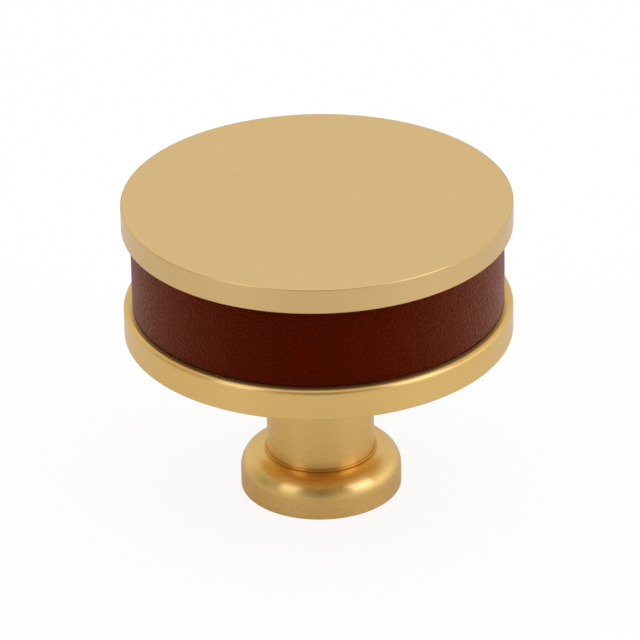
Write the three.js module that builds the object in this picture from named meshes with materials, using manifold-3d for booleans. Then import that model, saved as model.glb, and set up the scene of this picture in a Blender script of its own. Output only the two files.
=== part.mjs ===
// Cabinet knob: a round brass head with a leather band, on a slim turned stem with a round foot.
// Millimetres. +Z is the knob's axis, from the foot's flat underside up to the head's flat face.

import * as THREE from 'three';
import { mergeVertices } from 'three/addons/utils/BufferGeometryUtils.js';
import Module from 'manifold-3d';

const wasm = await Module();
wasm.setup();

// Head: a cap and a flange of one diameter, with the leather band between them
const HEAD_DIAMETER = 38.1;
const CAP_THICKNESS = 2.55;
const BAND_HEIGHT = 8.3;
const FLANGE_THICKNESS = 3.15;
const CAP_EDGE_RADIUS = 0.12;
const FLANGE_UPPER_EDGE_RADIUS = 0.5;
const FLANGE_LOWER_EDGE_RADIUS = 0.2;

// Leather strip, wrapped once round the drum and butted end to end at the back
const LEATHER_INSET = 0.85;
const LEATHER_THICKNESS = 1.1;
const LEATHER_EDGE_RADIUS = 0.15;
const GLUE_LINE = 0.05;
const SEAM_WIDTH = 0.16;

// Foot and stem, turned from one bar
const STANDOFF = 17.25;
const STEM_DIAMETER = 10.6;
const FOOT_DIAMETER = 15.9;
const FOOT_WALL_HEIGHT = 1.95;
const FOOT_EDGE_RADIUS = 0.15;
const SHOULDER_RADIUS = 2;
const STEM_FILLET_RADIUS = 0.15;
const STEM_END_CHAMFER = 0.15;

// Registers that centre the stem and the cap in the head
const SPIGOT_DIAMETER = 8;
const SPIGOT_LENGTH = 2.5;
const BOSS_DIAMETER = 11;
const HEAD_WEB = 2.75;
const REGISTER_CHAMFER = 0.3;
const FIT_CLEARANCE = 0.05;
const END_CLEARANCE = 0.3;

// Threaded stud that pulls the stem and the cap together through the head
const STUD_DIAMETER = 5;
const STUD_LENGTH = 14;
const STUD_GRIP_IN_CAP = 5;
const STUD_HOLE_CLEARANCE = 0.15;
const STUD_CHAMFER = 0.5;
const SOCKET_ACROSS_FLATS = 2.5;
const SOCKET_DEPTH = 2.5;
const THREAD_CLEARANCE = 0.05;

// Tapped hole in the foot for the screw that comes through the door
const SCREW_HOLE_DIAMETER = 3.3;
const SCREW_COUNTERSINK_DIAMETER = 4.5;
const STEM_WEB = 1.9;
const DRILL_POINT_DEGREES = 118;

// Facets
const HEAD_STEPS = 96;
const STEM_STEPS = 60;
const STUD_STEPS = 32;
const SHOULDER_STEPS = 9;
const EDGE_STEPS = 3;
const OVERCUT = 1;

// Radii and heights that follow from the sizes above
const headRadius = HEAD_DIAMETER / 2;
const leatherRadius = headRadius - LEATHER_INSET;
const leatherInnerRadius = leatherRadius - LEATHER_THICKNESS;
const drumRadius = leatherInnerRadius - GLUE_LINE;
const headBodyHeight = FLANGE_THICKNESS + BAND_HEIGHT;
const stemRadius = STEM_DIAMETER / 2;
const footRadius = FOOT_DIAMETER / 2;
const spigotRadius = SPIGOT_DIAMETER / 2;
const bossRadius = BOSS_DIAMETER / 2;
const bossLength = headBodyHeight - SPIGOT_LENGTH - HEAD_WEB - 2 * END_CLEARANCE;
const studRadius = STUD_DIAMETER / 2;
const threadRadius = studRadius + THREAD_CLEARANCE;
const studTop = STANDOFF + headBodyHeight - bossLength + STUD_GRIP_IN_CAP;
const studBottom = studTop - STUD_LENGTH;

const brassMaterial = new THREE.MeshStandardMaterial({ color: '#c9a66b', roughness: 0.35, metalness: 1 });
const capMaterial = new THREE.MeshStandardMaterial({ color: '#cfae78', roughness: 0.4, metalness: 1 });
const leatherMaterial = new THREE.MeshStandardMaterial({ color: '#5a1a0a', roughness: 0.6, metalness: 0 });
const steelMaterial = new THREE.MeshStandardMaterial({ color: '#8d9094', roughness: 0.35, metalness: 1 });

// A profile is a list of points: x is the radius and y the height.
// It runs outwards along the underside, up the outside and back in over the top.
function point(radius, height) {
  return new THREE.Vector2(radius, height);
}

function arc(centreRadius, centreHeight, radius, fromDegrees, toDegrees, steps) {
  const points = [];
  for (let i = 0; i <= steps; i += 1) {
    const angle = THREE.MathUtils.degToRad(fromDegrees + (toDegrees - fromDegrees) * (i / steps));
    points.push(point(centreRadius + radius * Math.cos(angle), centreHeight + radius * Math.sin(angle)));
  }
  return points;
}

// A lathe turns its profile about Y, so the result is tipped up to stand on Z
function turn(profile, steps) {
  const geometry = new THREE.LatheGeometry(profile, steps);
  geometry.rotateX(Math.PI / 2);
  return geometry;
}

function drillPoint(radius) {
  return radius / Math.tan(THREE.MathUtils.degToRad(DRILL_POINT_DEGREES / 2));
}

function toSolid(geometry) {
  const bare = geometry.clone();
  bare.deleteAttribute('normal');
  bare.deleteAttribute('uv');
  const merged = mergeVertices(bare, 1e-5);
  const vertProperties = new Float32Array(merged.attributes.position.array);
  const triVerts = new Uint32Array(merged.index.array);
  return new wasm.Manifold(new wasm.Mesh({ numProp: 3, vertProperties, triVerts }));
}

function cut(geometry, tool) {
  const mesh = toSolid(geometry).subtract(toSolid(tool)).getMesh();
  const result = new THREE.BufferGeometry();
  result.setAttribute('position', new THREE.BufferAttribute(new Float32Array(mesh.vertProperties), 3));
  result.setIndex(new THREE.BufferAttribute(new Uint32Array(mesh.triVerts), 1));
  result.computeVertexNormals();
  return result;
}

function piece(name, geometry, material, height = 0) {
  const mesh = new THREE.Mesh(geometry, material);
  mesh.name = name;
  mesh.position.z = height;
  return mesh;
}

// Foot and stem in one: a straight foot wall, a round shoulder, a narrow flat ledge and a plain stem.
// The fillet in the corner is only the turning tool's nose. On a narrow ledge the shoulder gives way to it.
function stemFoot() {
  const ledge = footRadius - stemRadius;
  const fillet = Math.min(STEM_FILLET_RADIUS, ledge / 2);
  const shoulder = Math.min(SHOULDER_RADIUS, ledge - fillet - FIT_CLEARANCE);
  const shoulderTop = FOOT_WALL_HEIGHT + shoulder;
  const spigotTop = STANDOFF + SPIGOT_LENGTH;

  const screwRadius = SCREW_HOLE_DIAMETER / 2;
  const countersinkRadius = SCREW_COUNTERSINK_DIAMETER / 2;
  const studHoleBottom = studBottom - END_CLEARANCE;
  const studHoleTip = studHoleBottom - drillPoint(threadRadius);
  const screwHoleTip = studHoleTip - STEM_WEB;

  return turn([
    point(0, screwHoleTip),
    point(screwRadius, screwHoleTip - drillPoint(screwRadius)),
    point(screwRadius, countersinkRadius - screwRadius),
    point(countersinkRadius, 0),
    ...arc(footRadius - FOOT_EDGE_RADIUS, FOOT_EDGE_RADIUS, FOOT_EDGE_RADIUS, -90, 0, EDGE_STEPS),
    ...arc(footRadius - shoulder, FOOT_WALL_HEIGHT, shoulder, 0, 90, SHOULDER_STEPS),
    ...arc(stemRadius + fillet, shoulderTop + fillet, fillet, 270, 180, EDGE_STEPS),
    point(stemRadius, STANDOFF - STEM_END_CHAMFER),
    point(stemRadius - STEM_END_CHAMFER, STANDOFF),
    point(spigotRadius, STANDOFF),
    point(spigotRadius, spigotTop - REGISTER_CHAMFER),
    point(spigotRadius - REGISTER_CHAMFER, spigotTop),
    point(threadRadius, spigotTop),
    point(threadRadius, studHoleBottom),
    point(0, studHoleTip),
  ], STEM_STEPS);
}

// Flange and drum in one, counterbored from below for the stem and from above for the cap.
// Heights are from the flange's underside.
function headBody() {
  const spigotBore = spigotRadius + FIT_CLEARANCE;
  const spigotBoreTop = SPIGOT_LENGTH + END_CLEARANCE;
  const bossBore = bossRadius + FIT_CLEARANCE;
  const bossBoreBottom = headBodyHeight - bossLength - END_CLEARANCE;
  const studBore = studRadius + STUD_HOLE_CLEARANCE;
  const lower = FLANGE_LOWER_EDGE_RADIUS;
  const upper = FLANGE_UPPER_EDGE_RADIUS;

  return turn([
    point(spigotBore, 0),
    ...arc(headRadius - lower, lower, lower, -90, 0, EDGE_STEPS),
    ...arc(headRadius - upper, FLANGE_THICKNESS - upper, upper, 0, 90, EDGE_STEPS + 1),
    point(drumRadius, FLANGE_THICKNESS),
    point(drumRadius, headBodyHeight - REGISTER_CHAMFER),
    point(drumRadius - REGISTER_CHAMFER, headBodyHeight),
    point(bossBore, headBodyHeight),
    point(bossBore, bossBoreBottom),
    point(studBore, bossBoreBottom),
    point(studBore, spigotBoreTop),
    point(spigotBore, spigotBoreTop),
    point(spigotBore, 0),
  ], HEAD_STEPS);
}

// The strip is cut clean, so its edges are only just rounded, and its ends are butted at the back
function leatherBand() {
  const edge = LEATHER_EDGE_RADIUS;
  const ring = turn([
    point(leatherInnerRadius, 0),
    ...arc(leatherRadius - edge, edge, edge, -90, 0, EDGE_STEPS + 1),
    ...arc(leatherRadius - edge, BAND_HEIGHT - edge, edge, 0, 90, EDGE_STEPS + 1),
    point(leatherInnerRadius, BAND_HEIGHT),
    point(leatherInnerRadius, 0),
  ], HEAD_STEPS);

  const seam = new THREE.BoxGeometry(SEAM_WIDTH, LEATHER_THICKNESS + 2 * OVERCUT, BAND_HEIGHT + 2 * OVERCUT);
  seam.translate(0, leatherInnerRadius + LEATHER_THICKNESS / 2, BAND_HEIGHT / 2);
  return cut(ring, seam);
}

// Cap disc with a tapped boss under it. Heights are from the disc's underside.
function topCap() {
  const edge = CAP_EDGE_RADIUS;
  const threadTop = STUD_GRIP_IN_CAP + END_CLEARANCE - bossLength;

  return turn([
    point(0, threadTop),
    point(threadRadius, threadTop),
    point(threadRadius, -bossLength),
    point(bossRadius - REGISTER_CHAMFER, -bossLength),
    point(bossRadius, REGISTER_CHAMFER - bossLength),
    point(bossRadius, 0),
    ...arc(headRadius - edge, edge, edge, -90, 0, EDGE_STEPS),
    ...arc(headRadius - edge, CAP_THICKNESS - edge, edge, 0, 90, EDGE_STEPS),
    point(0, CAP_THICKNESS),
  ], HEAD_STEPS);
}

// Headless stud with chamfered ends and a hexagon socket in its upper end
function joiningStud() {
  const rod = turn([
    point(0, 0),
    point(studRadius - STUD_CHAMFER, 0),
    point(studRadius, STUD_CHAMFER),
    point(studRadius, STUD_LENGTH - STUD_CHAMFER),
    point(studRadius - STUD_CHAMFER, STUD_LENGTH),
    point(0, STUD_LENGTH),
  ], STUD_STEPS);

  const socketRadius = SOCKET_ACROSS_FLATS / Math.sqrt(3);
  const socket = new THREE.CylinderGeometry(socketRadius, socketRadius, SOCKET_DEPTH + OVERCUT, 6);
  socket.rotateX(Math.PI / 2);
  socket.translate(0, 0, STUD_LENGTH + (OVERCUT - SOCKET_DEPTH) / 2);
  return cut(rod, socket);
}

const knob = new THREE.Group();
knob.add(piece('stem_foot', stemFoot(), brassMaterial));
knob.add(piece('joining_stud', joiningStud(), steelMaterial, studBottom));

const head = new THREE.Group();
head.position.z = STANDOFF;
head.add(piece('head_body', headBody(), brassMaterial));
head.add(piece('leather_band', leatherBand(), leatherMaterial, FLANGE_THICKNESS));
head.add(piece('top_cap', topCap(), capMaterial, headBodyHeight));
knob.add(head);

export default knob;
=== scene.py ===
"""Looks of a cabinet knob: satin brass head with a leather band, on a turned stem and foot.

Metres, +Z up along the knob's axis, the origin at the centre of the foot's underside.
"""

import math

import bpy
from mathutils import Matrix, Vector, noise


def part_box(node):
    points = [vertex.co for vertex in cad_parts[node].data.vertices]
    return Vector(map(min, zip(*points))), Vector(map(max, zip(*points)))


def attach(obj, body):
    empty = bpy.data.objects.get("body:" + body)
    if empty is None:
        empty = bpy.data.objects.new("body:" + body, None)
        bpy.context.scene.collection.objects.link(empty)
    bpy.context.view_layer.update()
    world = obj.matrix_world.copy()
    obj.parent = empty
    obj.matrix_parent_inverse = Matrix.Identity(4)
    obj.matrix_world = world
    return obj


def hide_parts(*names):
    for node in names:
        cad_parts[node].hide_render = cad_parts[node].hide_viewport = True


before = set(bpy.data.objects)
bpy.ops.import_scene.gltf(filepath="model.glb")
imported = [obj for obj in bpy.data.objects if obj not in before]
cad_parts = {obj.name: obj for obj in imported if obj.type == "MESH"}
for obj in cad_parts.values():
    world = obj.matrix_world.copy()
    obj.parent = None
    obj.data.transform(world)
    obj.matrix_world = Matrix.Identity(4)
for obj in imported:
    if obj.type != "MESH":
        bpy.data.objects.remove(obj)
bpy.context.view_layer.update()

MM = 0.001
BODY = "root"

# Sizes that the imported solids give
_, stem_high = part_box("stem_foot")
head_low, head_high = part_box("head_body")
leather_low, leather_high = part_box("leather_band")
cap_low, cap_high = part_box("top_cap")
stud_low, stud_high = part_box("joining_stud")

HEAD_RADIUS = head_high.x
FOOT_RADIUS = stem_high.x
LEATHER_RADIUS = leather_high.x
FLANGE_BOTTOM = head_low.z
FLANGE_TOP = leather_low.z
BAND_TOP = leather_high.z
SPIGOT_TOP = stem_high.z
BOSS_BOTTOM = cap_low.z
CAP_TOP = cap_high.z

# Sizes that the boxes don't give, as on the solids
STEM_RADIUS = 5.3 * MM
FOOT_WALL_HEIGHT = 1.95 * MM
FOOT_EDGE_RADIUS = 0.15 * MM
SHOULDER_RADIUS = 2.0 * MM
STEM_FILLET_RADIUS = 0.15 * MM
STEM_END_CHAMFER = 0.15 * MM
SPIGOT_RADIUS = 4.0 * MM
BOSS_RADIUS = 5.5 * MM
REGISTER_CHAMFER = 0.3 * MM
FIT_CLEARANCE = 0.05 * MM
END_CLEARANCE = 0.3 * MM
STUD_BORE_RADIUS = 2.65 * MM
CAP_EDGE_RADIUS = 0.12 * MM
FLANGE_UPPER_EDGE_RADIUS = 0.5 * MM
FLANGE_LOWER_EDGE_RADIUS = 0.2 * MM
LEATHER_THICKNESS = 1.1 * MM
LEATHER_EDGE_RADIUS = 0.15 * MM
GLUE_LINE = 0.05 * MM

# Threads: inner and outer radius, and pitch
SCREW_THREAD = {"inner": 1.65 * MM, "outer": 2.0 * MM, "pitch": 0.7 * MM}
STUD_THREAD = {"inner": 2.05 * MM, "outer": 2.5 * MM, "pitch": 0.8 * MM}
STUD_NUT_THREAD = {"inner": 2.12 * MM, "outer": 2.55 * MM, "pitch": 0.8 * MM}
THREAD_ROWS_PER_TURN = 8

# The flanks leave a flat of a sixth of the pitch at crest and root
THREAD_FLANK_SLOPE = 1.5
THREAD_FLANK_START = 0.25

# Holes and stud. The web is the brass left between the tips of the stem's two blind holes.
COUNTERSINK_RADIUS = 2.25 * MM
STEM_WEB = 1.9 * MM
DRILL_POINT_ANGLE = math.radians(118)
STUD_CHAMFER = 0.5 * MM
SOCKET_ACROSS_FLATS = 2.5 * MM
SOCKET_DEPTH = 2.5 * MM

# Fineness of the turned meshes, the angle from which an edge stays sharp, and what counts as a level face
HEAD_STEPS = 288
STEM_STEPS = 192
STUD_STEPS = 72
ARC_STEPS = 8
SHOULDER_ARC_STEPS = 24
HOLD = 0.03 * MM
SHARP_ANGLE = math.radians(32)
FACING_UP = 0.999


def linear(red, green, blue):
    """A colour picked as 0 to 255 values, as the linear colour that a shader takes."""
    channels = [c / 255 for c in (red, green, blue)]
    return tuple(c / 12.92 if c <= 0.04045 else ((c + 0.055) / 1.055) ** 2.4 for c in channels) + (1.0,)


def arc(centre_radius, centre_height, radius, start, end, steps=ARC_STEPS):
    """Points of an arc in the profile's plane. Angles are in degrees, from outwards towards up."""
    points = []
    for i in range(steps + 1):
        angle = math.radians(start + (end - start) * i / steps)
        points.append((centre_radius + radius * math.cos(angle), centre_height + radius * math.sin(angle)))
    return points


def held(profile):
    """The profile with a point close to both ends of each long stretch, which keeps its shading flat."""
    points = [profile[0]]
    for start, end in zip(profile, profile[1:]):
        length = math.dist(start, end)
        if length > 4 * HOLD:
            for share in (HOLD / length, 1 - HOLD / length):
                points.append(tuple(a + (b - a) * share for a, b in zip(start, end)))
        points.append(end)
    return points


def drill_point(radius):
    return radius / math.tan(DRILL_POINT_ANGLE / 2)


def thread_radius(thread, height, angle):
    """A V thread with its crest and root cut flat, as a radius at a height and angle."""
    phase = (height / thread["pitch"] - angle / (2 * math.pi)) % 1
    wave = 1 - abs(2 * phase - 1)
    ramp = min(1, max(0, THREAD_FLANK_SLOPE * wave - THREAD_FLANK_START))
    return thread["inner"] + (thread["outer"] - thread["inner"]) * ramp


def thread_rows(thread, bottom, top):
    """Heights of the rows that a thread needs between two heights, both ends left out."""
    count = max(2, round((top - bottom) / thread["pitch"] * THREAD_ROWS_PER_TURN))
    return [bottom + (top - bottom) * i / count for i in range(1, count)]


def hexagon_radius(across_flats, angle):
    corner = math.pi / 3
    return across_flats / 2 / math.cos((angle + corner / 2) % corner - corner / 2)


def turned_mesh(name, rows, steps):
    """A closed mesh turned about Z. A row is (radius, height). The radius may be a function of the angle.

    The texture map runs round the axis in U, so that U follows the marks of turning.
    """
    angles = [2 * math.pi * k / steps for k in range(steps)]
    vertices, starts = [], []
    for radius, height in rows:
        starts.append(len(vertices))
        if callable(radius):
            radii = [radius(a) for a in angles]
        elif radius > 0:
            radii = [radius] * steps
        else:
            vertices.append((0.0, 0.0, height))
            continue
        vertices += [(r * math.cos(a), r * math.sin(a), height) for r, a in zip(radii, angles)]

    faces, corner_maps = [], []
    closed = rows[0] == rows[-1]
    last = len(rows) - 1
    if closed:
        vertices = vertices[:starts[-1]]
        starts[-1] = starts[0]
    for i in range(last):
        low_point = not callable(rows[i][0]) and rows[i][0] <= 0
        high_point = not callable(rows[i + 1][0]) and rows[i + 1][0] <= 0
        v_low, v_high = i / last, (i + 1) / last
        for k in range(steps):
            after = (k + 1) % steps
            u_low, u_high = k / steps, (k + 1) / steps
            u_middle = (u_low + u_high) / 2
            low = [starts[i]] if low_point else [starts[i] + k, starts[i] + after]
            high = [starts[i + 1]] if high_point else [starts[i + 1] + after, starts[i + 1] + k]
            faces.append(low + high)
            low_map = [(u_middle, v_low)] if low_point else [(u_low, v_low), (u_high, v_low)]
            high_map = [(u_middle, v_high)] if high_point else [(u_high, v_high), (u_low, v_high)]
            corner_maps.append(low_map + high_map)

    return finished_mesh(name, vertices, faces, corner_maps)


def finished_mesh(name, vertices, faces, corner_maps):
    mesh = bpy.data.meshes.new(name)
    mesh.from_pydata(vertices, [], faces)
    layer = mesh.uv_layers.new(name="grain")
    flat = [value for face in corner_maps for corner in face for value in corner]
    layer.data.foreach_set("uv", flat)
    mesh.shade_smooth()
    mesh.set_sharp_from_angle(angle=SHARP_ANGLE)
    mesh.validate()
    return mesh


def add_piece(name, mesh, materials, node):
    """Puts a finished mesh in the scene in place of its plain solid."""
    for material in materials:
        mesh.materials.append(material)
    piece = bpy.data.objects.new(name, mesh)
    bpy.context.scene.collection.objects.link(piece)
    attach(piece, BODY)
    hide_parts(node)


class Nodes:
    """Short calls for building a material's or the world's node tree."""

    def __init__(self, tree):
        self.tree = tree
        tree.nodes.clear()

    def add(self, kind, links=(), **settings):
        node = self.tree.nodes.new(kind)
        for key, value in settings.items():
            setattr(node, key, value)
        for socket, source in dict(links).items():
            if isinstance(source, bpy.types.NodeSocket):
                self.tree.links.new(source, node.inputs[socket])
            else:
                node.inputs[socket].default_value = source
        return node

    def math(self, operation, first, second=0.0, third=0.0):
        node = self.add("ShaderNodeMath", {0: first, 1: second, 2: third}, operation=operation)
        return node.outputs[0]

    def ramp(self, value, low, high, to_low, to_high):
        """value from low to high, as a smooth step from to_low to to_high."""
        links = {"Value": value, "From Min": low, "From Max": high, "To Min": to_low, "To Max": to_high}
        node = self.add("ShaderNodeMapRange", links, interpolation_type="SMOOTHSTEP")
        return node.outputs["Result"]

    def mix_colour(self, factor, first, second):
        links = {"Factor": factor, "A": first, "B": second}
        node = self.tree.nodes.new("ShaderNodeMix")
        node.data_type = "RGBA"
        colour_sockets = {s.name: s for s in node.inputs if s.enabled}
        for key, source in links.items():
            if isinstance(source, bpy.types.NodeSocket):
                self.tree.links.new(source, colour_sockets[key])
            else:
                colour_sockets[key].default_value = source
        return next(s for s in node.outputs if s.enabled)


def new_material(name):
    material = bpy.data.materials.new(name)
    material.use_nodes = True
    return material, Nodes(material.node_tree)


def object_position(nodes):
    """The surface point in millimetres, as a vector and its three parts."""
    place = nodes.add("ShaderNodeTexCoord").outputs["Object"]
    scaled = nodes.add("ShaderNodeVectorMath", {0: place, 3: 1 / MM}, operation="SCALE").outputs[0]
    parts = nodes.add("ShaderNodeSeparateXYZ", {0: scaled}).outputs
    return scaled, parts["X"], parts["Y"], parts["Z"]


# The range in which most of a noise's values lie
NOISE_RANGE = (0.3, 0.7)


def noise_at(nodes, vector, depth=0.0):
    links = {"Vector": vector, "W": depth, "Scale": 1.0, "Detail": 2.0, "Roughness": 0.5}
    return nodes.add("ShaderNodeTexNoise", links, noise_dimensions="4D").outputs["Fac"]


def straight_grain(nodes, length, per_mm):
    """Brush marks in straight lines along X, as noise stretched to that length in millimetres."""
    _, x, y, z = object_position(nodes)
    parts = {"X": nodes.math("DIVIDE", x, length), "Y": nodes.math("MULTIPLY", y, per_mm), "Z": z}
    vector = nodes.add("ShaderNodeCombineXYZ", parts).outputs[0]
    return noise_at(nodes, vector)


def turned_grain(nodes, turns, per_mm):
    """Turning marks round the axis: noise that changes fast along the profile and slowly round it."""
    _, x, y, z = object_position(nodes)
    flat = nodes.add("ShaderNodeCombineXYZ", {"X": x, "Y": y}).outputs[0]
    direction = nodes.add("ShaderNodeVectorMath", {0: flat}, operation="NORMALIZE").outputs[0]
    radius = nodes.add("ShaderNodeVectorMath", {0: flat}, operation="LENGTH").outputs["Value"]
    around = nodes.add("ShaderNodeSeparateXYZ", {0: direction}).outputs
    parts = {
        "X": nodes.math("MULTIPLY", around["X"], turns),
        "Y": nodes.math("MULTIPLY", around["Y"], turns),
        "Z": nodes.math("MULTIPLY", z, per_mm),
    }
    vector = nodes.add("ShaderNodeCombineXYZ", parts).outputs[0]
    return noise_at(nodes, vector, depth=nodes.math("MULTIPLY", radius, per_mm))


# Painted shade in the corner between stem and foot: where it starts to fade and where it ends, in
# millimetres, how much of the brass's own colour is left in the corner itself, and how much of each channel
# the painted shade leaves
PAINTED_SHADE_REACH = (0.12, 0.45)
UNSHADED_SHARE_IN_CORNER = 0.1
PAINTED_SHADE_TINT = (0.7, 0.55, 0.33)


def painted_corner_shade(nodes, radius, height):
    """How much of the brass's own colour shows near an inner corner; the rest is painted shade, which
    darkens the corner.
    """
    _, x, y, z = object_position(nodes)
    flat = nodes.add("ShaderNodeCombineXYZ", {"X": x, "Y": y}).outputs[0]
    out = nodes.add("ShaderNodeVectorMath", {0: flat}, operation="LENGTH").outputs["Value"]
    across = nodes.math("SUBTRACT", out, radius / MM)
    up = nodes.math("SUBTRACT", z, height / MM)
    offset = nodes.add("ShaderNodeCombineXYZ", {"X": across, "Y": up}).outputs[0]
    distance = nodes.add("ShaderNodeVectorMath", {0: offset}, operation="LENGTH").outputs["Value"]
    return nodes.ramp(distance, *PAINTED_SHADE_REACH, UNSHADED_SHARE_IN_CORNER, 1.0)


# Brush marks: share of the finest ones, range of the marks' noise, their depth and the roughness's spread.
# The highlight's direction is given in turns from the texture map's U, which follows the marks.
FINE_MARKS_SHARE = 0.65
MARKS_RANGE = (0.32, 0.68)
BRUSH_DEPTH = 0.004 * MM
ROUGHNESS_WANDER = 0.02
ACROSS_THE_MARKS = 0.25


def brass(name, colour, grain, roughness, anisotropy, contrast, relief, corner=None):
    """Satin brushed brass. The highlight stretches across the brush marks."""
    material, nodes = new_material(name)
    fine, coarse = grain(nodes)
    finest = nodes.math("MULTIPLY", fine, FINE_MARKS_SHARE)
    marks = nodes.math("ADD", finest, nodes.math("MULTIPLY", coarse, 1 - FINE_MARKS_SHARE))

    dark = tuple(c * (1 - contrast) for c in colour[:3]) + (1.0,)
    pale = tuple(c * (1 + contrast) for c in colour[:3]) + (1.0,)
    tint = nodes.mix_colour(nodes.ramp(marks, *MARKS_RANGE, 0.0, 1.0), dark, pale)
    # Painted shade: the brass is darkened towards the inner corner
    if corner:
        painted_shade_colour = tuple(c * share for c, share in zip(colour, PAINTED_SHADE_TINT)) + (1.0,)
        tint = nodes.mix_colour(painted_corner_shade(nodes, *corner), painted_shade_colour, tint)
    rough = nodes.ramp(coarse, *NOISE_RANGE, roughness - ROUGHNESS_WANDER, roughness + ROUGHNESS_WANDER)
    bump = nodes.add("ShaderNodeBump", {"Strength": relief, "Distance": BRUSH_DEPTH, "Height": marks})
    tangent = nodes.add("ShaderNodeTangent", direction_type="UV_MAP", uv_map="grain")

    shader = nodes.add("ShaderNodeBsdfPrincipled", {
        "Base Color": tint,
        "Metallic": 1.0,
        "Roughness": rough,
        "Anisotropic": anisotropy,
        "Anisotropic Rotation": ACROSS_THE_MARKS,
        "Normal": bump.outputs[0],
        "Tangent": tangent.outputs[0],
    })
    nodes.add("ShaderNodeOutputMaterial", {"Surface": shader.outputs[0]})
    return material


# Leather's pattern: how many cells or waves to the millimetre, and how far the cells are pushed about
PEBBLES_PER_MM = 2.3
PORES_PER_MM = 7.0
PATCHES_PER_MM = 0.35
WANDER_PER_MM = 1.1
WANDER_REACH = (0.6, 0.6, 0.6)
GROOVE_WIDTH = 0.28
PORE_SHARE = 0.5

# Leather's colours, linear: in the grooves and on the pebbles, then the painted sheen where the face is
# turned half away and turned right away
GROOVE_DYE = (0.056, 0.0008, 0.0, 1.0)
PEBBLE_DYE = (0.08, 0.0015, 0.0, 1.0)
PAINTED_WARM_SHEEN = (0.195, 0.034, 0.0, 1.0)
PAINTED_PALE_SHEEN = (0.38, 0.25, 0.22, 1.0)
PAINTED_SHEEN_POWER = 3.0


def leather_material():
    """Fine-grained oxblood leather: small pebbles, with a painted sheen that warms the colour where the face
    turns away and pales it on the pebbles' tops where the face turns right away.
    """
    material, nodes = new_material("oxblood_leather_painted_sheen")
    place, *_ = object_position(nodes)
    wander = nodes.add("ShaderNodeTexNoise", {"Vector": place, "Scale": WANDER_PER_MM, "Detail": 2.0})
    shifted = nodes.add("ShaderNodeVectorMath", {0: wander.outputs["Color"], 1: WANDER_REACH, 2: place},
                        operation="MULTIPLY_ADD").outputs[0]
    links = {"Vector": shifted, "Scale": PEBBLES_PER_MM, "Randomness": 1.0}
    cells = nodes.add("ShaderNodeTexVoronoi", links, feature="DISTANCE_TO_EDGE").outputs["Distance"]
    pebble = nodes.ramp(cells, 0.0, GROOVE_WIDTH, 0.0, 1.0)
    links = {"Vector": place, "Scale": PORES_PER_MM, "Detail": 2.0}
    pores = nodes.add("ShaderNodeTexNoise", links).outputs["Fac"]
    height = nodes.math("ADD", pebble, nodes.math("MULTIPLY", pores, PORE_SHARE))
    bump = nodes.add("ShaderNodeBump", {"Strength": 0.6, "Distance": 0.03 * MM, "Height": height})

    links = {"Vector": place, "Scale": PATCHES_PER_MM, "Detail": 3.0}
    patches = nodes.add("ShaderNodeTexNoise", links).outputs["Fac"]
    shade = nodes.math("MULTIPLY", pebble, nodes.ramp(patches, *NOISE_RANGE, 0.7, 1.0))
    dye = nodes.mix_colour(shade, GROOVE_DYE, PEBBLE_DYE)
    # Painted sheen: the colour warms as the face turns away from the view, and pales on the pebbles' tops
    # where it turns right away
    away = nodes.add("ShaderNodeLayerWeight", {"Blend": 0.5, "Normal": bump.outputs[0]}).outputs["Facing"]
    with_warm_sheen = nodes.mix_colour(away, dye, PAINTED_WARM_SHEEN)
    on_pebbles = nodes.ramp(pebble, 0.0, 1.0, 0.6, 1.0)
    pale_sheen = nodes.math("MULTIPLY", nodes.math("POWER", away, PAINTED_SHEEN_POWER), on_pebbles)
    tint = nodes.mix_colour(pale_sheen, with_warm_sheen, PAINTED_PALE_SHEEN)

    shader = nodes.add("ShaderNodeBsdfPrincipled", {
        "Base Color": tint,
        "Roughness": nodes.ramp(pebble, 0.0, 1.0, 0.5, 0.4),
        "IOR": 1.05,
        "Normal": bump.outputs[0],
    })
    nodes.add("ShaderNodeOutputMaterial", {"Surface": shader.outputs[0]})
    return material


def leather_edge_material():
    """The strip's cut edges, dyed dark and burnished smooth, without the face's painted sheen. Their dark
    colour also paints in the shade where the band meets the flange.
    """
    material, nodes = new_material("burnished_leather_edge_painted_shade")
    place, *_ = object_position(nodes)
    fibres = nodes.add("ShaderNodeTexNoise", {"Vector": place, "Scale": 4.0, "Detail": 3.0}).outputs["Fac"]
    # Dark enough to paint in the shade along the band's lower edge, beyond the dyed edge's own colour
    tint = nodes.mix_colour(nodes.ramp(fibres, *NOISE_RANGE, 0.0, 1.0), linear(36, 5, 2), linear(52, 9, 4))
    bump = nodes.add("ShaderNodeBump", {"Strength": 0.4, "Distance": 0.02 * MM, "Height": fibres})
    shader = nodes.add("ShaderNodeBsdfPrincipled", {
        "Base Color": tint,
        "Roughness": nodes.ramp(fibres, *NOISE_RANGE, 0.5, 0.6),
        "Specular IOR Level": 0.1,
        "Normal": bump.outputs[0],
    })
    nodes.add("ShaderNodeOutputMaterial", {"Surface": shader.outputs[0]})
    return material


def steel_material():
    material, nodes = new_material("plated_steel")
    place, *_ = object_position(nodes)
    spots = nodes.add("ShaderNodeTexNoise", {"Vector": place, "Scale": 2.5, "Detail": 4.0}).outputs["Fac"]
    shade = nodes.ramp(spots, *NOISE_RANGE, 0.0, 1.0)
    tint = nodes.mix_colour(shade, linear(168, 170, 174), linear(196, 198, 202))
    bump = nodes.add("ShaderNodeBump", {"Strength": 0.3, "Distance": 0.01 * MM, "Height": spots})
    shader = nodes.add("ShaderNodeBsdfPrincipled", {
        "Base Color": tint,
        "Metallic": 1.0,
        "Roughness": nodes.ramp(spots, *NOISE_RANGE, 0.3, 0.42),
        "Normal": bump.outputs[0],
    })
    nodes.add("ShaderNodeOutputMaterial", {"Surface": shader.outputs[0]})
    return material


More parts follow.
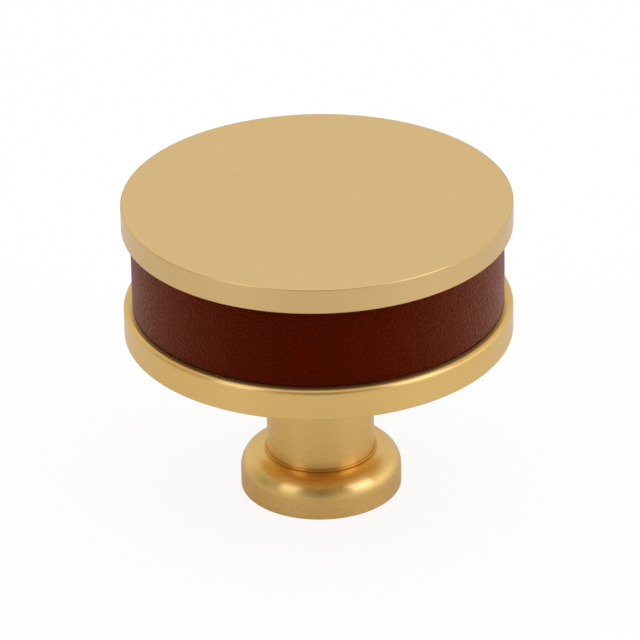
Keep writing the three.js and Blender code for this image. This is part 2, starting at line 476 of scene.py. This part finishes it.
# One brass in three tones, each set to how its part looks lit: the cap's paler, cooler tone paints in the
# cooler light from above, and the rim's tone, darker than the top's, paints in shade on the rim
CAP_COLOUR = linear(235, 202, 143)
CAP_RIM_COLOUR = linear(229, 193, 132)
TURNED_COLOUR = linear(236, 197, 121)

TURNED_FINISH = {"roughness": 0.28, "anisotropy": 0.85}


def straight_marks(nodes):
    return straight_grain(nodes, 6.0, 9.0), straight_grain(nodes, 18.0, 2.5)


def turned_marks(nodes):
    return turned_grain(nodes, 0.9, 8.0), turned_grain(nodes, 0.5, 2.5)


straight_brass = brass(
    "straight_brushed_brass", CAP_COLOUR, straight_marks,
    roughness=0.34, anisotropy=0.85, contrast=0.02, relief=0.1)
turned_brass = brass(
    "turned_brass", TURNED_COLOUR, turned_marks, contrast=0.012, relief=0.045, **TURNED_FINISH)
# The foot's brass carries painted shade in the corner between stem and foot
shaded_foot_brass = brass(
    "turned_foot_brass_painted_shade", TURNED_COLOUR, turned_marks, contrast=0.012, relief=0.045,
    corner=(STEM_RADIUS, FOOT_WALL_HEIGHT + SHOULDER_RADIUS), **TURNED_FINISH)
turned_rim_brass = brass(
    "turned_rim_brass", CAP_RIM_COLOUR, turned_marks, contrast=0.01, relief=0.035, **TURNED_FINISH)
leather = leather_material()
leather_edge = leather_edge_material()
steel = steel_material()


def make_stem_foot():
    """Foot and stem from one bar, with the screw's thread below and the stud's thread above."""
    nut, screw = STUD_NUT_THREAD, SCREW_THREAD
    stud_hole_bottom = stud_low.z - END_CLEARANCE
    stud_hole_tip = stud_hole_bottom - drill_point(nut["outer"])
    screw_hole_tip = stud_hole_tip - STEM_WEB
    screw_hole_top = screw_hole_tip - drill_point(screw["inner"])
    countersink_top = COUNTERSINK_RADIUS - screw["inner"]
    shoulder_top = FOOT_WALL_HEIGHT + SHOULDER_RADIUS
    fillet = STEM_FILLET_RADIUS

    rows = [(0.0, screw_hole_tip), (screw["inner"], screw_hole_top)]
    for height in reversed(thread_rows(screw, countersink_top, screw_hole_top)):
        rows.append((lambda angle, z=height: thread_radius(screw, z, angle), height))
    rows.append((screw["inner"], countersink_top))
    rows += held([
        (COUNTERSINK_RADIUS, 0.0),
        *arc(FOOT_RADIUS - FOOT_EDGE_RADIUS, FOOT_EDGE_RADIUS, FOOT_EDGE_RADIUS, -90, 0),
        *arc(FOOT_RADIUS - SHOULDER_RADIUS, FOOT_WALL_HEIGHT, SHOULDER_RADIUS, 0, 90, SHOULDER_ARC_STEPS),
        *arc(STEM_RADIUS + fillet, shoulder_top + fillet, fillet, 270, 180),
        (STEM_RADIUS, FLANGE_BOTTOM - STEM_END_CHAMFER),
        (STEM_RADIUS - STEM_END_CHAMFER, FLANGE_BOTTOM),
        (SPIGOT_RADIUS, FLANGE_BOTTOM),
        (SPIGOT_RADIUS, SPIGOT_TOP - REGISTER_CHAMFER),
        (SPIGOT_RADIUS - REGISTER_CHAMFER, SPIGOT_TOP),
        (nut["outer"], SPIGOT_TOP),
    ])
    for height in reversed(thread_rows(nut, stud_hole_bottom, SPIGOT_TOP)):
        rows.append((lambda angle, z=height: thread_radius(nut, z, angle), height))
    rows += [(nut["outer"], stud_hole_bottom), (0.0, stud_hole_tip)]
    mesh = turned_mesh("stem_foot_fine", rows, STEM_STEPS)
    add_piece("stem_foot_fine", mesh, [shaded_foot_brass], "stem_foot")


def make_head_body():
    """Flange and drum in one, bored for the stem's spigot, the stud and the cap's boss."""
    spigot_bore = SPIGOT_RADIUS + FIT_CLEARANCE
    spigot_bore_top = SPIGOT_TOP + END_CLEARANCE
    boss_bore = BOSS_RADIUS + FIT_CLEARANCE
    boss_bore_bottom = BOSS_BOTTOM - END_CLEARANCE
    drum_radius = LEATHER_RADIUS - LEATHER_THICKNESS - GLUE_LINE
    lower, upper = FLANGE_LOWER_EDGE_RADIUS, FLANGE_UPPER_EDGE_RADIUS
    rows = held([
        (spigot_bore, FLANGE_BOTTOM),
        *arc(HEAD_RADIUS - lower, FLANGE_BOTTOM + lower, lower, -90, 0),
        *arc(HEAD_RADIUS - upper, FLANGE_TOP - upper, upper, 0, 90),
        (drum_radius, FLANGE_TOP),
        (drum_radius, BAND_TOP - REGISTER_CHAMFER),
        (drum_radius - REGISTER_CHAMFER, BAND_TOP),
        (boss_bore, BAND_TOP),
        (boss_bore, boss_bore_bottom),
        (STUD_BORE_RADIUS, boss_bore_bottom),
        (STUD_BORE_RADIUS, spigot_bore_top),
        (spigot_bore, spigot_bore_top),
        (spigot_bore, FLANGE_BOTTOM),
    ])
    mesh = turned_mesh("head_body_fine", rows, HEAD_STEPS)
    add_piece("head_body_fine", mesh, [turned_brass], "head_body")


def make_cap():
    """Cap disc and its tapped boss. The flat top has straight brush marks, the rest is turned."""
    nut = STUD_NUT_THREAD
    thread_top = stud_high.z + END_CLEARANCE
    edge = CAP_EDGE_RADIUS
    rows = [(0.0, thread_top), (nut["outer"], thread_top)]
    for height in reversed(thread_rows(nut, BOSS_BOTTOM, thread_top)):
        rows.append((lambda angle, z=height: thread_radius(nut, z, angle), height))
    rows += held([
        (nut["outer"], BOSS_BOTTOM),
        (BOSS_RADIUS - REGISTER_CHAMFER, BOSS_BOTTOM),
        (BOSS_RADIUS, BOSS_BOTTOM + REGISTER_CHAMFER),
        (BOSS_RADIUS, BAND_TOP),
        *arc(HEAD_RADIUS - edge, BAND_TOP + edge, edge, -90, 0),
        *arc(HEAD_RADIUS - edge, CAP_TOP - edge, edge, 0, 90),
        (0.0, CAP_TOP),
    ])
    mesh = turned_mesh("top_cap_fine", rows, HEAD_STEPS)
    add_piece("top_cap_fine", mesh, [turned_rim_brass, straight_brass], "top_cap")

    layer = mesh.uv_layers["grain"]
    for face in mesh.polygons:
        if face.normal.z > FACING_UP and face.center.z > BAND_TOP:
            face.material_index = 1
            for loop in face.loop_indices:
                point = mesh.vertices[mesh.loops[loop].vertex_index].co
                layer.data[loop].uv = (0.5 + point.x / (2 * HEAD_RADIUS), 0.5 + point.y / (2 * HEAD_RADIUS))


def make_stud():
    """Stud threaded over its whole length, with chamfered ends and a hexagon socket."""
    thread = STUD_THREAD
    bottom, top = stud_low.z, stud_high.z
    end_radius = thread["outer"] - STUD_CHAMFER

    def socket(angle):
        return hexagon_radius(SOCKET_ACROSS_FLATS, angle)

    rows = [(0.0, bottom), (end_radius, bottom)]
    for height in thread_rows(thread, bottom, top):
        limit = end_radius + min(height - bottom, top - height)
        rows.append((lambda angle, z=height, most=limit: min(most, thread_radius(thread, z, angle)), height))
    rows += [(end_radius, top), (socket, top), (socket, top - SOCKET_DEPTH), (0.0, top - SOCKET_DEPTH)]
    mesh = turned_mesh("joining_stud_fine", rows, STUD_STEPS)
    add_piece("joining_stud_fine", mesh, [steel], "joining_stud")


# The leather strip runs round the drum from one side of the seam to the other.
# Its soft ends are pressed together here, closer than the clearance between the plain solid's ends.
SEAM_GAP = 0.004 * MM
LEATHER_COLUMNS = 960
LEATHER_WALL_ROWS = 64
LEATHER_CORNER_STEPS = 6
SEAM_ROUNDING = 0.3 * MM
SEAM_DIP = 0.06 * MM
PEBBLE_HEIGHT = 0.012 * MM
WRINKLE_HEIGHT = 0.02 * MM
RELIEF_PEBBLES_PER_MM = 1.7
RELIEF_WRINKLES_PER_MM = 0.45
PEBBLE_STEEPNESS = 2.2

# Columns of faces on each lip of the seam, and how many of them next to the seam show the dark cut edge
SEAM_COLUMNS = 8
SEAM_DARK_COLUMNS = 4

# Half the seam and the rounding of a lip, as angles round the axis
HALF_SEAM_ANGLE = SEAM_GAP / 2 / LEATHER_RADIUS
LIP_ANGLE = SEAM_ROUNDING / LEATHER_RADIUS


def leather_section():
    """Section of the strip, from the lower inner corner out, up and back in."""
    inner = LEATHER_RADIUS - LEATHER_THICKNESS
    edge = LEATHER_EDGE_RADIUS
    low, high = FLANGE_TOP, BAND_TOP
    wall_low, wall_high = low + edge, high - edge
    wall = [wall_low + (wall_high - wall_low) * i / LEATHER_WALL_ROWS for i in range(1, LEATHER_WALL_ROWS)]
    return [
        (inner, low),
        *arc(LEATHER_RADIUS - edge, wall_low, edge, -90, 0, LEATHER_CORNER_STEPS),
        *[(LEATHER_RADIUS, height) for height in wall],
        *arc(LEATHER_RADIUS - edge, wall_high, edge, 0, 90, LEATHER_CORNER_STEPS),
        (inner, high),
    ]


def leather_relief(x, y, z):
    """How far the leather's outer face lies below its largest radius, from pebbles and faint wrinkles."""
    place = Vector((x, y, z)) / MM
    near, second = noise.voronoi(place * RELIEF_PEBBLES_PER_MM)[0][:2]
    pebble = min(1.0, (second - near) * PEBBLE_STEEPNESS)
    wrinkle = 0.5 + 0.5 * noise.noise(place * RELIEF_WRINKLES_PER_MM)
    return PEBBLE_HEIGHT * (1 - pebble) + WRINKLE_HEIGHT * wrinkle


def leather_turns():
    """Angles of the strip's columns, measured from the seam and closer together on its lips."""
    near = [HALF_SEAM_ANGLE + LIP_ANGLE * i / SEAM_COLUMNS for i in range(SEAM_COLUMNS)]
    start = HALF_SEAM_ANGLE + LIP_ANGLE
    middle = [start + (2 * math.pi - 2 * start) * i / LEATHER_COLUMNS for i in range(LEATHER_COLUMNS + 1)]
    return near + middle + [2 * math.pi - a for a in reversed(near)]


def leather_vertices(section, turns):
    """The section's points at every turn, with the relief and the seam's dip on the outer face."""
    seam_angle = math.pi / 2
    inner = LEATHER_RADIUS - LEATHER_THICKNESS
    vertices = []
    for turn in turns:
        from_end = min(turn, 2 * math.pi - turn) - HALF_SEAM_ANGLE
        dip = SEAM_DIP * max(0.0, 1 - from_end / LIP_ANGLE) ** 2
        cos, sin = math.cos(seam_angle + turn), math.sin(seam_angle + turn)
        for radius, height in section:
            share = min(1.0, max(0.0, (radius - inner) / (LEATHER_RADIUS - LEATHER_EDGE_RADIUS - inner)))
            relief = leather_relief(radius * cos, radius * sin, height) if share == 1.0 else 0.0
            reach = radius - share * (dip + relief)
            vertices.append((reach * cos, reach * sin, height))
    return vertices


def make_leather():
    """The wrapped strip. Its cut edges and the lips of its seam take the dark edge colour, which is partly
    painted shade.
    """
    section, turns = leather_section(), leather_turns()
    count, columns = len(section), len(turns)
    faces, corner_maps = [], []
    for i in range(columns - 1):
        for j in range(count):
            k = (j + 1) % count
            faces.append([i * count + j, (i + 1) * count + j, (i + 1) * count + k, i * count + k])
            u_low, u_high = i / (columns - 1), (i + 1) / (columns - 1)
            v_low, v_high = j / count, (j + 1) / count
            corner_maps.append([(u_low, v_low), (u_high, v_low), (u_high, v_high), (u_low, v_high)])
    last = (columns - 1) * count
    faces.append(list(range(count)))
    faces.append([last + j for j in reversed(range(count))])
    corner_maps += [[(0.0, 0.0)] * count, [(1.0, 1.0)] * count]
    mesh = finished_mesh("leather_band_fine", leather_vertices(section, turns), faces, corner_maps)
    add_piece("leather_band_fine", mesh, [leather, leather_edge], "leather_band")

    face_low, face_high = FLANGE_TOP + LEATHER_EDGE_RADIUS, BAND_TOP - LEATHER_EDGE_RADIUS
    for face in mesh.polygons:
        column = face.index // count
        at_seam = column < SEAM_DARK_COLUMNS or column >= columns - 1 - SEAM_DARK_COLUMNS
        if at_seam or not face_low < face.center.z < face_high:
            face.material_index = 1


make_stem_foot()
make_head_body()
make_leather()
make_cap()
make_stud()

# Stage: a pale floor, which shows white to the camera and keeps a faint shadow
FLOOR_REACH = 3.0
FLOOR_HEIGHT = -0.01 * MM
FLOOR_COLOUR = (0.82, 0.82, 0.82, 1.0)
FLOOR_WHITE = 1.06
FLOOR_WHITE_SHARE = 0.83
FLOOR_WHITE_SHARE_IN_METAL = 0.14


def camera_ray(nodes):
    return nodes.add("ShaderNodeLightPath").outputs["Is Camera Ray"]


def metal_or_glass_ray(nodes):
    rays = nodes.add("ShaderNodeLightPath").outputs
    return nodes.math("MAXIMUM", rays["Is Glossy Ray"], rays["Is Transmission Ray"])


def make_floor():
    mesh = bpy.data.meshes.new("floor")
    r, z = FLOOR_REACH, FLOOR_HEIGHT
    mesh.from_pydata([(-r, -r, z), (r, -r, z), (r, r, z), (-r, r, z)], [], [(0, 1, 2, 3)])
    material, nodes = new_material("pale_floor")
    diffuse = nodes.add("ShaderNodeBsdfDiffuse", {"Color": FLOOR_COLOUR})
    white = nodes.add("ShaderNodeEmission", {"Color": (1.0, 1.0, 1.0, 1.0), "Strength": FLOOR_WHITE})
    share = nodes.math("MAXIMUM", nodes.math("MULTIPLY", camera_ray(nodes), FLOOR_WHITE_SHARE),
                       nodes.math("MULTIPLY", metal_or_glass_ray(nodes), FLOOR_WHITE_SHARE_IN_METAL))
    mix = nodes.add("ShaderNodeMixShader", {0: share, 1: diffuse.outputs[0], 2: white.outputs[0]})
    nodes.add("ShaderNodeOutputMaterial", {"Surface": mix.outputs[0]})
    mesh.materials.append(material)
    floor = bpy.data.objects.new("floor", mesh)
    bpy.context.scene.collection.objects.link(floor)


# World: how bright the studio is round the knob, as azimuth and strength, low down and higher up.
# Azimuth 0 is in front, where the dark side of the studio lies, and 90 is to the right.
LOW_BAND = (
    (-180, 0.63), (-135, 0.85), (-90, 0.38), (-45, 0.7), (0, 0.24),
    (45, 0.8), (90, 1.4), (135, 0.85), (180, 0.63),
)
HIGH_BAND = ((-180, 0.92), (-90, 0.6), (0, 0.15), (90, 0.5), (180, 0.92))
CEILING_STRENGTH = 1.13
LOW_ELEVATION = math.radians(12)
HIGH_ELEVATION = math.radians(42)
CEILING_ELEVATION = math.radians(72)
DARK_SIDE_TINT = (1.0, 0.86, 0.6)


def band(nodes, turn, stops):
    """Colour round the knob, warmer where it is darker. turn runs from 0 to 1, starting at the back."""
    node = nodes.add("ShaderNodeValToRGB", {0: turn})
    elements = node.color_ramp.elements
    while len(elements) < len(stops):
        elements.new(1.0)
    for element, (azimuth, strength) in zip(elements, stops):
        element.position = (azimuth + 180) / 360
        warmth = max(0.0, 1 - strength)
        element.color = tuple(strength * (1 + warmth * (t - 1)) for t in DARK_SIDE_TINT) + (1.0,)
    return node.outputs["Color"]


def make_world():
    world = bpy.data.worlds.new("studio")
    bpy.context.scene.world = world
    world.use_nodes = True
    nodes = Nodes(world.node_tree)
    direction = nodes.add("ShaderNodeTexCoord").outputs["Generated"]
    parts = nodes.add("ShaderNodeSeparateXYZ", {0: direction}).outputs
    azimuth = nodes.math("ARCTAN2", parts["X"], nodes.math("MULTIPLY", parts["Y"], -1.0))
    turn = nodes.math("MULTIPLY_ADD", azimuth, 1 / (2 * math.pi), 0.5)
    elevation = nodes.math("ARCSINE", parts["Z"])
    links = {"Value": elevation, "From Min": LOW_ELEVATION, "From Max": HIGH_ELEVATION}
    raised = nodes.add("ShaderNodeMapRange", links).outputs["Result"]
    links = {"Value": elevation, "From Min": HIGH_ELEVATION, "From Max": CEILING_ELEVATION}
    overhead = nodes.add("ShaderNodeMapRange", links).outputs["Result"]

    colour = nodes.mix_colour(raised, band(nodes, turn, LOW_BAND), band(nodes, turn, HIGH_BAND))
    colour = nodes.mix_colour(overhead, colour, (CEILING_STRENGTH,) * 3 + (1.0,))
    colour = nodes.mix_colour(camera_ray(nodes), colour, (1.0, 1.0, 1.0, 1.0))
    shown = nodes.add("ShaderNodeBackground", {"Color": colour, "Strength": 1.0})
    nodes.add("ShaderNodeOutputWorld", {"Surface": shown.outputs[0]})


SOFTBOX_COLOUR = (0.95, 1.0, 1.5)


def direction_of(azimuth, elevation):
    """A unit vector. Azimuth 0 is in front, on -Y, and positive azimuth is to the right."""
    a, e = math.radians(azimuth), math.radians(elevation)
    return Vector((math.sin(a) * math.cos(e), -math.cos(a) * math.cos(e), math.sin(e)))


def softbox(name, azimuth, elevation, distance, width, height, radiance):
    """An area light aimed at the knob. radiance is what its face adds to the backdrop's white of 1."""
    light = bpy.data.lights.new(name, "AREA")
    light.color = SOFTBOX_COLOUR
    light.shape = "RECTANGLE"
    light.size, light.size_y = width, height
    light.energy = radiance * math.pi * width * height
    lamp = bpy.data.objects.new(name, light)
    aim = Vector((0.0, 0.0, FLANGE_BOTTOM))
    towards = direction_of(azimuth, elevation)
    lamp.location = aim + towards * distance
    lamp.rotation_mode = "QUATERNION"
    lamp.rotation_quaternion = towards.to_track_quat("Z", "Y")
    lamp.visible_camera = False
    bpy.context.scene.collection.objects.link(lamp)


# Camera, found by fitting the outlines of the knob's round edges
CAMERA_ELEVATION = math.radians(28.11)
CAMERA_DISTANCE = 565.4 * MM
CAMERA_TARGET = Vector((0.0, 0.0, 15.0 * MM))
CAMERA_ROLL = math.radians(-0.96)
CAMERA_AIM_RIGHT = math.radians(0.008)
CAMERA_AIM_UP = math.radians(0.271)
SENSOR_WIDTH = 36.0
LENS = 324.0


def rotated(first, second, angle):
    """Two directions turned in their own plane."""
    cos, sin = math.cos(angle), math.sin(angle)
    return first * cos - second * sin, first * sin + second * cos


def make_camera():
    back = Vector((0.0, -math.cos(CAMERA_ELEVATION), math.sin(CAMERA_ELEVATION)))
    forward = -back
    right = Vector((1.0, 0.0, 0.0))
    up = right.cross(forward)
    right, up = rotated(right, up, -CAMERA_ROLL)
    right, forward = rotated(right, forward, CAMERA_AIM_RIGHT)
    up, forward = rotated(up, forward, CAMERA_AIM_UP)

    data = bpy.data.cameras.new("camera")
    data.sensor_width = SENSOR_WIDTH
    data.lens = LENS
    data.clip_start = 0.01
    data.clip_end = 100.0
    camera = bpy.data.objects.new("camera", data)
    bpy.context.scene.collection.objects.link(camera)
    turn = Matrix((right, up, -forward)).transposed().to_4x4()
    camera.matrix_world = Matrix.Translation(CAMERA_TARGET + back * CAMERA_DISTANCE) @ turn
    bpy.context.scene.camera = camera


make_floor()
make_world()
softbox("softbox_right", azimuth=63, elevation=33, distance=0.6, width=0.34, height=0.4, radiance=1.3)
softbox("softbox_left", azimuth=-50, elevation=33, distance=0.6, width=0.26, height=0.4, radiance=0.95)
make_camera()
bpy.context.scene.view_settings.view_transform = "Standard"
